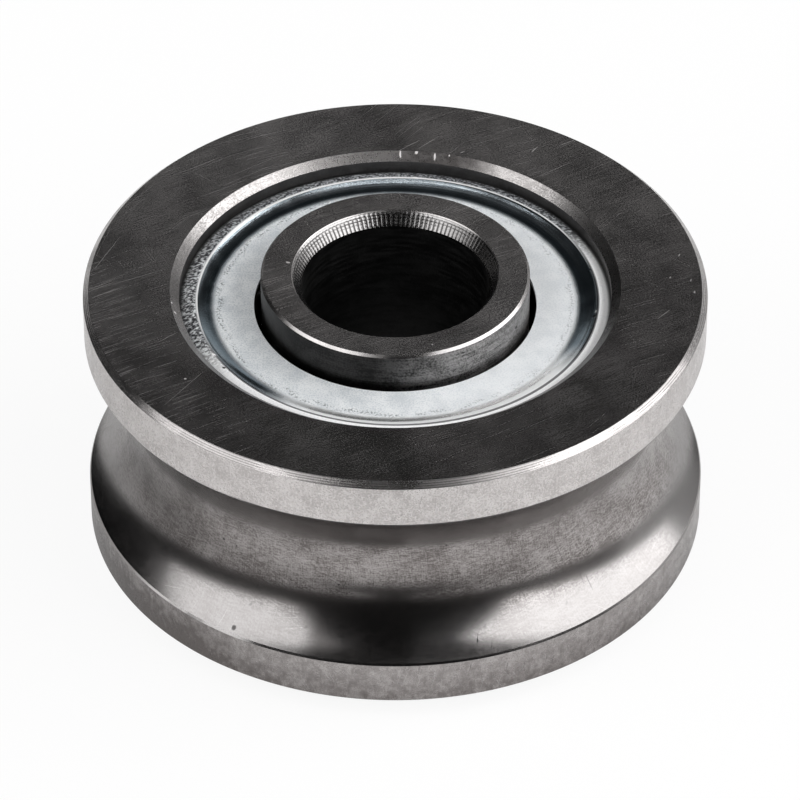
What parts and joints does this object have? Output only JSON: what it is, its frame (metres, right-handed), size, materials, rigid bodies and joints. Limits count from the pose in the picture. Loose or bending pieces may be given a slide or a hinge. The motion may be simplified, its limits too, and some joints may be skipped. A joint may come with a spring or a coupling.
{
  "type": "v groove wheel",
  "caption": "Shielded ball bearing guide wheel whose thick outer ring has an arched groove to run along a round shaft, with a plain bore for its axle.",
  "frame": {"origin": "middle of the wheel, on its axis and halfway between its end faces", "axes": "+Z along the wheel's axis, out of its upper end face; X and Y lie in the wheel's middle plane"},
  "size_m": [0.0399, 0.0398, 0.02],
  "materials": {
    "outer_ring": "ground bearing steel, dark end faces",
    "inner_ring": "ground bearing steel",
    "shield": "zinc-plated pressed sheet, dull bluish white",
    "cage": "moulded polyamide",
    "ball": "polished bearing steel"
  },
  "bodies": {
    "inner": {"inner_ring": "inner_ring"},
    "outer": {"outer_ring": "outer_ring", "upper_shield": "shield", "lower_shield": "shield"},
    "upper_cage": {"upper_cage": "cage"},
    "lower_cage": {"lower_cage": "cage"},
    "upper_ball_1": {"upper_ball_1": "ball"},
    "upper_ball_2": {"upper_ball_2": "ball"},
    "upper_ball_3": {"upper_ball_3": "ball"},
    "upper_ball_4": {"upper_ball_4": "ball"},
    "upper_ball_5": {"upper_ball_5": "ball"},
    "upper_ball_6": {"upper_ball_6": "ball"},
    "upper_ball_7": {"upper_ball_7": "ball"},
    "upper_ball_8": {"upper_ball_8": "ball"},
    "upper_ball_9": {"upper_ball_9": "ball"},
    "lower_ball_1": {"lower_ball_1": "ball"},
    "lower_ball_2": {"lower_ball_2": "ball"},
    "lower_ball_3": {"lower_ball_3": "ball"},
    "lower_ball_4": {"lower_ball_4": "ball"},
    "lower_ball_5": {"lower_ball_5": "ball"},
    "lower_ball_6": {"lower_ball_6": "ball"},
    "lower_ball_7": {"lower_ball_7": "ball"},
    "lower_ball_8": {"lower_ball_8": "ball"},
    "lower_ball_9": {"lower_ball_9": "ball"}
  },
  "joints": [
    {"name": "outer_spin", "type": "hinge", "parent": "inner", "child": "outer", "pos_m": [0, 0, 0], "axis": [0, 0, 1], "continuous": true},
    {"name": "upper_cage_orbit", "type": "hinge", "parent": "inner", "child": "upper_cage", "pos_m": [0, 0, 0], "axis": [0, 0, 1], "continuous": true},
    {"name": "lower_cage_orbit", "type": "hinge", "parent": "inner", "child": "lower_cage", "pos_m": [0, 0, 0], "axis": [0, 0, 1], "continuous": true},
    {"name": "upper_ball_1_spin", "type": "hinge", "parent": "upper_cage", "child": "upper_ball_1", "pos_m": [0.0106, 0, 0.0034], "axis": [0.5, 0, 0.866], "continuous": true},
    {"name": "upper_ball_2_spin", "type": "hinge", "parent": "upper_cage", "child": "upper_ball_2", "pos_m": [0.00812, 0.00681, 0.0034], "axis": [0.383, 0.3214, 0.866], "continuous": true},
    {"name": "upper_ball_3_spin", "type": "hinge", "parent": "upper_cage", "child": "upper_ball_3", "pos_m": [0.00184, 0.01044, 0.0034], "axis": [0.0868, 0.4924, 0.866], "continuous": true},
    {"name": "upper_ball_4_spin", "type": "hinge", "parent": "upper_cage", "child": "upper_ball_4", "pos_m": [-0.0053, 0.00918, 0.0034], "axis": [-0.25, 0.433, 0.866], "continuous": true},
    {"name": "upper_ball_5_spin", "type": "hinge", "parent": "upper_cage", "child": "upper_ball_5", "pos_m": [-0.00996, 0.00363, 0.0034], "axis": [-0.4698, 0.171, 0.866], "continuous": true},
    {"name": "upper_ball_6_spin", "type": "hinge", "parent": "upper_cage", "child": "upper_ball_6", "pos_m": [-0.00996, -0.00363, 0.0034], "axis": [-0.4698, -0.171, 0.866], "continuous": true},
    {"name": "upper_ball_7_spin", "type": "hinge", "parent": "upper_cage", "child": "upper_ball_7", "pos_m": [-0.0053, -0.00918, 0.0034], "axis": [-0.25, -0.433, 0.866], "continuous": true},
    {"name": "upper_ball_8_spin", "type": "hinge", "parent": "upper_cage", "child": "upper_ball_8", "pos_m": [0.00184, -0.01044, 0.0034], "axis": [0.0868, -0.4924, 0.866], "continuous": true},
    {"name": "upper_ball_9_spin", "type": "hinge", "parent": "upper_cage", "child": "upper_ball_9", "pos_m": [0.00812, -0.00681, 0.0034], "axis": [0.383, -0.3214, 0.866], "continuous": true},
    {"name": "lower_ball_1_spin", "type": "hinge", "parent": "lower_cage", "child": "lower_ball_1", "pos_m": [0.00996, 0.00363, -0.0034], "axis": [-0.4698, -0.171, 0.866], "continuous": true},
    {"name": "lower_ball_2_spin", "type": "hinge", "parent": "lower_cage", "child": "lower_ball_2", "pos_m": [0.0053, 0.00918, -0.0034], "axis": [-0.25, -0.433, 0.866], "continuous": true},
    {"name": "lower_ball_3_spin", "type": "hinge", "parent": "lower_cage", "child": "lower_ball_3", "pos_m": [-0.00184, 0.01044, -0.0034], "axis": [0.0868, -0.4924, 0.866], "continuous": true},
    {"name": "lower_ball_4_spin", "type": "hinge", "parent": "lower_cage", "child": "lower_ball_4", "pos_m": [-0.00812, 0.00681, -0.0034], "axis": [0.383, -0.3214, 0.866], "continuous": true},
    {"name": "lower_ball_5_spin", "type": "hinge", "parent": "lower_cage", "child": "lower_ball_5", "pos_m": [-0.0106, 0, -0.0034], "axis": [0.5, 0, 0.866], "continuous": true},
    {"name": "lower_ball_6_spin", "type": "hinge", "parent": "lower_cage", "child": "lower_ball_6", "pos_m": [-0.00812, -0.00681, -0.0034], "axis": [0.383, 0.3214, 0.866], "continuous": true},
    {"name": "lower_ball_7_spin", "type": "hinge", "parent": "lower_cage", "child": "lower_ball_7", "pos_m": [-0.00184, -0.01044, -0.0034], "axis": [0.0868, 0.4924, 0.866], "continuous": true},
    {"name": "lower_ball_8_spin", "type": "hinge", "parent": "lower_cage", "child": "lower_ball_8", "pos_m": [0.0053, -0.00918, -0.0034], "axis": [-0.25, 0.433, 0.866], "continuous": true},
    {"name": "lower_ball_9_spin", "type": "hinge", "parent": "lower_cage", "child": "lower_ball_9", "pos_m": [0.00996, -0.00363, -0.0034], "axis": [-0.4698, 0.171, 0.866], "continuous": true}
  ],
  "couplings": [
    {"joint": "upper_cage_orbit", "follows": "outer_spin", "ratio": 0.61348},
    {"joint": "lower_cage_orbit", "follows": "outer_spin", "ratio": 0.61348},
    {"joint": "upper_ball_1_spin", "follows": "outer_spin", "ratio": 1.8096},
    {"joint": "upper_ball_2_spin", "follows": "outer_spin", "ratio": 1.8096},
    {"joint": "upper_ball_3_spin", "follows": "outer_spin", "ratio": 1.8096},
    {"joint": "upper_ball_4_spin", "follows": "outer_spin", "ratio": 1.8096},
    {"joint": "upper_ball_5_spin", "follows": "outer_spin", "ratio": 1.8096},
    {"joint": "upper_ball_6_spin", "follows": "outer_spin", "ratio": 1.8096},
    {"joint": "upper_ball_7_spin", "follows": "outer_spin", "ratio": 1.8096},
    {"joint": "upper_ball_8_spin", "follows": "outer_spin", "ratio": 1.8096},
    {"joint": "upper_ball_9_spin", "follows": "outer_spin", "ratio": 1.8096},
    {"joint": "lower_ball_1_spin", "follows": "outer_spin", "ratio": 1.8096},
    {"joint": "lower_ball_2_spin", "follows": "outer_spin", "ratio": 1.8096},
    {"joint": "lower_ball_3_spin", "follows": "outer_spin", "ratio": 1.8096},
    {"joint": "lower_ball_4_spin", "follows": "outer_spin", "ratio": 1.8096},
    {"joint": "lower_ball_5_spin", "follows": "outer_spin", "ratio": 1.8096},
    {"joint": "lower_ball_6_spin", "follows": "outer_spin", "ratio": 1.8096},
    {"joint": "lower_ball_7_spin", "follows": "outer_spin", "ratio": 1.8096},
    {"joint": "lower_ball_8_spin", "follows": "outer_spin", "ratio": 1.8096},
    {"joint": "lower_ball_9_spin", "follows": "outer_spin", "ratio": 1.8096}
  ]
}
